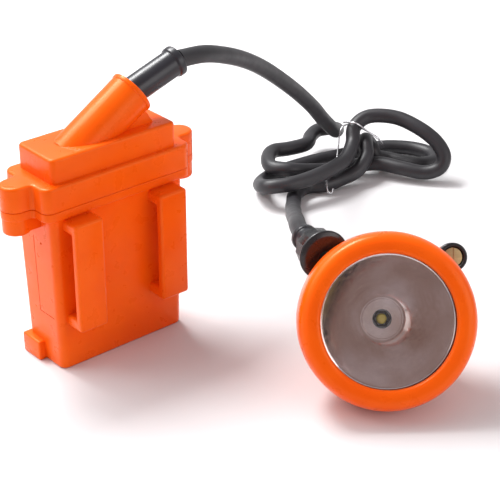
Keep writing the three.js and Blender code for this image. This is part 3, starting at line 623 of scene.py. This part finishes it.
def pack_sleeve():
    hole = CORD_RADIUS + GAP
    radius, rim = PACK_SLEEVE["radius"], PACK_SLEEVE["collar"]
    length, ring = PACK_SLEEVE["length"], PACK_SLEEVE["collar_length"]
    profile = [
        (hole, 0), (radius, 0), (radius, length - ring), (rim, length - ring + 0.3), (rim, length),
        (hole, length),
    ]
    root = Vector((HOOD["x"], 0, HOOD["z"])) + direction(HOOD["lean"]) * HOOD["mouth"]
    root -= direction(PACK_SLEEVE["lean"]) * PACK_SLEEVE["inside"]
    place = Matrix.Translation(root) @ Matrix.Rotation(math.radians(90 - PACK_SLEEVE["lean"]), 4, "Y")
    add_piece("pack_cord_sleeve_shape", placed(ring_turned(profile, 0.8, 64, 4), place), "black_rubber")


battery_box()
battery_cover()
pack_sleeve()


# ---------- lamp head ----------
def lamp_place():
    """The head's own frame: Z out of the lens along the switch's axis, Y up the lamp's face."""
    facing = Vector(switch_joint["axis"]).normalized()
    right = Vector((0, 0, 1)).cross(facing).normalized()
    up = facing.cross(right)
    turn = Matrix((right, up, facing)).transposed()
    angle = math.radians(KNOB["angle"])
    middle = (KNOB["front"] + KNOB["back"]) / 2
    knob = Vector((KNOB["reach"] * math.cos(angle), KNOB["reach"] * math.sin(angle), middle))
    origin = Vector(switch_joint["pos_m"]) / MM - turn @ knob
    return Matrix.Translation(origin) @ turn.to_4x4()


LAMP = lamp_place()


def on_rim(angle, reach, z):
    turn = math.radians(angle)
    return Vector((reach * math.cos(turn), reach * math.sin(turn), z))


def gland_place(along):
    """Z along the gland's axis, backwards and splayed outwards."""
    splay = math.radians(GLAND["splay"])
    axis = on_rim(GLAND["angle"], math.sin(splay), -math.cos(splay))
    at = on_rim(GLAND["angle"], GLAND["reach"], -GLAND["depth"]) + axis * along
    return Matrix.Translation(at) @ Vector((0, 0, 1)).rotation_difference(axis).to_matrix().to_4x4()


def knob_place():
    return Matrix.Translation(on_rim(KNOB["angle"], KNOB["reach"], 0))


def add_lamp_piece(name, mesh, material, body=SET, replaces=(), crease=32):
    return add_piece(name, placed(mesh, LAMP), material, body, replaces, crease)


def bezel():
    radius, opening, bore = BEZEL["radius"], BEZEL["opening"], BEZEL["bore"]
    seat = LENS["radius"] + GAP
    profile = [
        (opening, -2.9), (opening, -1.5), (29.3, -0.3), (31.5, 0), (33.8, -0.3), (35.9, -1.7), (37.1, -4.1),
        (radius, -6.8), (radius, BEZEL["edge"]), (radius - 0.8, BEZEL["back"]), (bore, BEZEL["back"]),
        (bore, -7.9), (seat, -7.9), (seat, -2.9),
    ]
    add_lamp_piece("bezel_ring_shape", ring_turned(profile, 1.1, 160, 4), "orange_plastic",
                   replaces=["bezel_ring"])


def lens():
    radius, front, back = LENS["radius"], LENS["front"], LENS["back"]
    profile = [(0, back), (radius, back), (radius, front), (0, front)]
    add_lamp_piece("lens_shape", disc_turned(profile, 0.4, 128), "lens_glass", replaces=["lens"])


def bowl_depth(radius):
    return BOWL["top"] - (BOWL["rim"] ** 2 - radius ** 2) / (4 * BOWL["focus"])


def reflector():
    rim, flat, top, skin, hole = (BOWL[key] for key in ("rim", "flat", "top", "skin", "hole"))
    rings = 28
    radii = [rim + (flat - rim) * step / rings for step in range(rings + 1)]
    inside = [(radius, bowl_depth(radius)) for radius in radii]
    outside = [(radius + skin * 0.7, bowl_depth(radius) - skin) for radius in reversed(radii)]
    floor = bowl_depth(flat)
    bead = [(29, top), (28.4, top + 0.25), (28, top + 0.4), (27.6, top + 0.25)]
    groove = [(flat - 0.35, floor - 0.45), (flat - 0.8, floor - 0.45), (flat - 1.1, floor)]
    profile = [(LENS["radius"], top), *bead, *inside, *groove, (hole, floor), (hole, floor - skin), *outside,
               (LENS["radius"], top - skin)]
    add_lamp_piece("reflector_shape", turned(profile, 128), "reflector_chrome", replaces=["reflector"])


def led():
    floor = bowl_depth(BOWL["flat"])
    board = floor - BOWL["skin"] - 1.2
    wall = BOWL["hole"] - GAP
    foot, brim = board + 0.1, floor - 0.4
    well = ring_turned([(2.6, foot), (wall, foot), (wall, brim), (2.9, brim)], 0.1, 6, 1)
    add_lamp_piece("led_well_shape", well, "black_plastic", replaces=["led_well"])
    dome_profile = [(0, foot), (2.2, foot), (2.2, board + 0.9), (1.7, board + 2), (0, board + 2.4)]
    dome = disc_turned(dome_profile, 0.6, 32)
    add_lamp_piece("led_emitter_shape", dome, "phosphor", replaces=["led_emitter"])


def housing():
    neck, wall, back, shoulder = (SHELL[key] for key in ("neck", "wall", "back", "shoulder"))
    back_radius, widest = SHELL["back_radius"], SHELL["widest"]
    outer = [
        (0, back), (back_radius, back), (back_radius + 1.4, back + 1.2), (30.2, -30), (widest, shoulder - 1),
        (widest, shoulder), (neck, shoulder), (neck, -8.3), (0, -8.3),
    ]
    inner = [
        (0, back + wall), (back_radius - 1, back + wall), (28, -29.4), (neck - 2.5, -23), (neck - 2.5, -7),
        (0, -7),
    ]
    knob_at = on_rim(KNOB["angle"], KNOB["reach"], 0)
    knob_room = KNOB["radius"] + 2 * GAP
    gland_room = GLAND["flange"] + 2 * GAP
    boss_height = 13
    boss_foot = KNOB["back"] - GAP - boss_height
    boss = ease_edges(post(5.2, boss_height, knob_at.x, knob_at.y, boss_foot, 48), 0.8)
    web_length = KNOB["reach"] - 25
    web = placed(block(web_length, 8, boss_height, 25 + web_length / 2, 0, boss_foot),
                 Matrix.Rotation(math.radians(KNOB["angle"]), 4, "Z"))
    inside_bezel = post(BEZEL["radius"] - 0.5, 80, 0, 0, -60, 128)
    gland_seat = placed(post(10.4, wall, 0, 0, -7 - wall, 64), gland_place(0))
    gland_seat = boolean(gland_seat, [inside_bezel], "INTERSECT")
    knob_well = post(knob_room + wall, 12, knob_at.x, knob_at.y, KNOB["back"] - GAP - wall, 64)
    gland_well = placed(post(gland_room + wall, 32, 0, 0, -7 - wall, 64), gland_place(0))
    hull_limit = disc_turned(outer, 0.8, 128)
    wells = boolean(join(knob_well, gland_well), [hull_limit], "INTERSECT")
    hollow = disc_turned(inner, 0.4, 128)
    ahead = ring_turned([(neck + 0.01, shoulder), (70, shoulder), (70, 20), (neck + 0.01, 20)], 0.01, 128, 1)
    bosses = cut(join(boss, web, gland_seat), ahead, disc_turned(inner, 0.4, 128))
    body = join(cut(disc_turned(outer, 0.8, 128), hollow), wells, bosses)
    knob_pocket = post(knob_room, 12, knob_at.x, knob_at.y, KNOB["back"] - GAP, 64)
    gland_pocket = placed(post(gland_room, 40, 0, 0, -7, 64), gland_place(0))
    shaft_hole = post(1.9, 12, knob_at.x, knob_at.y, KNOB["back"] - 8, 24)
    rotor_room = post(3.7, 4, knob_at.x, knob_at.y, KNOB["back"] - 10.6, 24)
    screw_holes = [post(1.4, 5, side * HOOK["screw_x"], HOOK["screw_y"], back - 1, 16) for side in (-1, 1)]
    body = cut(body, knob_pocket, gland_pocket, shaft_hole, rotor_room, *screw_holes)
    add_lamp_piece("lamp_housing_shape", body, "orange_plastic", replaces=["lamp_housing"])


def gland():
    hole = CORD_RADIUS + GAP
    nut, length, flange = GLAND["nut"], GLAND["nut_length"], GLAND["flange"]
    flange_profile = [
        (2.3, 0), (flange - 2.2, 0), (flange, 1.2), (flange, 2.4), (4.9, 2.4), (4.9, 0.8), (2.3, 0.8),
    ]
    ring = ring_turned(flange_profile, 0.7, 96, 4)
    add_lamp_piece("gland_flange_shape", placed(ring, gland_place(-6.7)), "black_plastic",
                   replaces=["gland_flange"])
    hexagon = ease_edges(post(nut, length, 0, 0, 0, 6), 0.35, 3)
    # a second hexagon, turned by half a side, trims the corners to narrow facets
    trimmed = placed(post(nut * 0.985, length + 2, 0, 0, -1, 6), Matrix.Rotation(math.pi / 6, 4, "Z"))
    hexagon = boolean(hexagon, [trimmed], "INTERSECT")
    end = length + 0.4
    cone = [(0, -1), (nut + 2, -1), (nut + 2, length - 3), (nut - 1.4, end), (0, end)]
    chamfer = disc_turned(cone, 0.2, 96)
    body = cut(boolean(hexagon, [chamfer], "INTERSECT"), post(5.6, length + 2, 0, 0, -1, 64))
    add_lamp_piece("gland_nut_shape", placed(body, gland_place(-4)), "black_plastic",
                   replaces=["gland_nut"], crease=20)
    radius, rim, end = LAMP_SLEEVE["radius"], LAMP_SLEEVE["collar"], LAMP_SLEEVE["end"]
    shoulder = end - LAMP_SLEEVE["collar_length"]
    sleeve = ring_turned([
        (hole, -3.6), (radius, -3.6), (radius, shoulder), (rim, shoulder + 0.3), (rim, end), (hole, end),
    ], 0.7, 64, 4)
    add_lamp_piece("lamp_cord_sleeve_shape", placed(sleeve, gland_place(0)), "black_rubber",
                   replaces=["lamp_cord_sleeve"])


def switch():
    radius, front, back, contact = (KNOB[key] for key in ("radius", "front", "back", "contact"))
    mouth = contact + 0.4
    ring = ring_turned([
        (2.3, back), (radius, back), (radius, front), (mouth, front), (mouth, front - 2.4),
        (2.3, front - 2.4),
    ], 0.6, 96, 4)
    add_lamp_piece("switch_knob_shape", placed(ring, knob_place()), "black_plastic", SWITCH, ["switch_knob"])
    top = front - 0.7
    foot = top - 1.5
    disc = disc_turned([(0, foot), (contact, foot), (contact, top), (0, top)], 0.3, 64)
    slotted = cut(disc, block(1, 12, 0.6, 0, 0, top - 0.4))
    add_lamp_piece("charge_contact_shape", placed(slotted, knob_place()), "brass", SWITCH, ["charge_contact"])


bezel()
lens()
reflector()
led()
housing()
gland()
switch()


# ---------- CAD nodes that keep their own shape get their finish ----------
def finish_cad_nodes():
    slots = {entry["node"]: entry["material_slot"] for entry in frame["record"]["subparts"]}
    for node, item in frame["nodes"].items():
        item.data.materials.clear()
        item.data.materials.append(MATERIALS[slots[node]])


finish_cad_nodes()


# ---------- floor, world and lights ----------
def add_floor():
    mesh = bmesh.new()
    bmesh.ops.create_grid(mesh, x_segments=1, y_segments=1, size=4)
    data = bpy.data.meshes.new("floor")
    mesh.to_mesh(data)
    mesh.free()
    material = new_material("floor", (0.70, 0.695, 0.705), 0.9)
    vary_roughness(material, add_noise(material, 12), 0.85, 0.95)
    data.materials.append(material)
    floor = bpy.data.objects.new("floor", data)
    bpy.context.collection.objects.link(floor)


def add_area(name, location, target, size, power, colour=(1, 1, 1)):
    light = bpy.data.lights.new(name, "AREA")
    light.shape = "RECTANGLE"
    light.size, light.size_y = size
    light.energy = power
    light.color = colour
    item = bpy.data.objects.new(name, light)
    bpy.context.collection.objects.link(item)
    item.location = location
    item.rotation_euler = (Vector(target) - Vector(location)).to_track_quat("-Z", "Y").to_euler()


def add_world():
    """A pale studio that falls off to mauve grey on the side the lamp faces."""
    world = bpy.data.worlds.new("studio")
    bpy.context.scene.world = world
    world.use_nodes = True
    nodes, links = world.node_tree.nodes, world.node_tree.links
    place = nodes.new("ShaderNodeTexCoord")
    along = nodes.new("ShaderNodeVectorMath")
    along.operation = "DOT_PRODUCT"
    along.inputs[1].default_value = (0.60, 0.70, 0.38)
    ramp = nodes.new("ShaderNodeValToRGB")
    ramp.color_ramp.elements[0].position = 0.0
    ramp.color_ramp.elements[0].color = (0.66, 0.57, 0.58, 1)
    ramp.color_ramp.elements[1].position = 0.7
    ramp.color_ramp.elements[1].color = (1, 1, 1, 1)
    links.new(place.outputs["Generated"], along.inputs[0])
    links.new(along.outputs["Value"], ramp.inputs["Fac"])
    links.new(ramp.outputs["Color"], nodes["Background"].inputs["Color"])
    nodes["Background"].inputs["Strength"].default_value = 0.66


add_floor()
add_world()
add_area("top_softbox", (0.05, 0.6, 1.0), (0.08, 0, 0.03), (0.5, 0.4), 16)
add_area("left_softbox", (-1.0, 0.15, 0.45), (0, 0, 0.05), (0.9, 0.7), 1.2)
add_area("front_fill", (0.35, -0.9, 0.4), (0.05, -0.05, 0.05), (0.8, 0.6), 3)
add_area("back_left_wash", (-0.30, 0.35, 0.5), (-0.28, 0.25, 0), (0.5, 0.5), 3)
bpy.context.scene.view_settings.view_transform = "Standard"
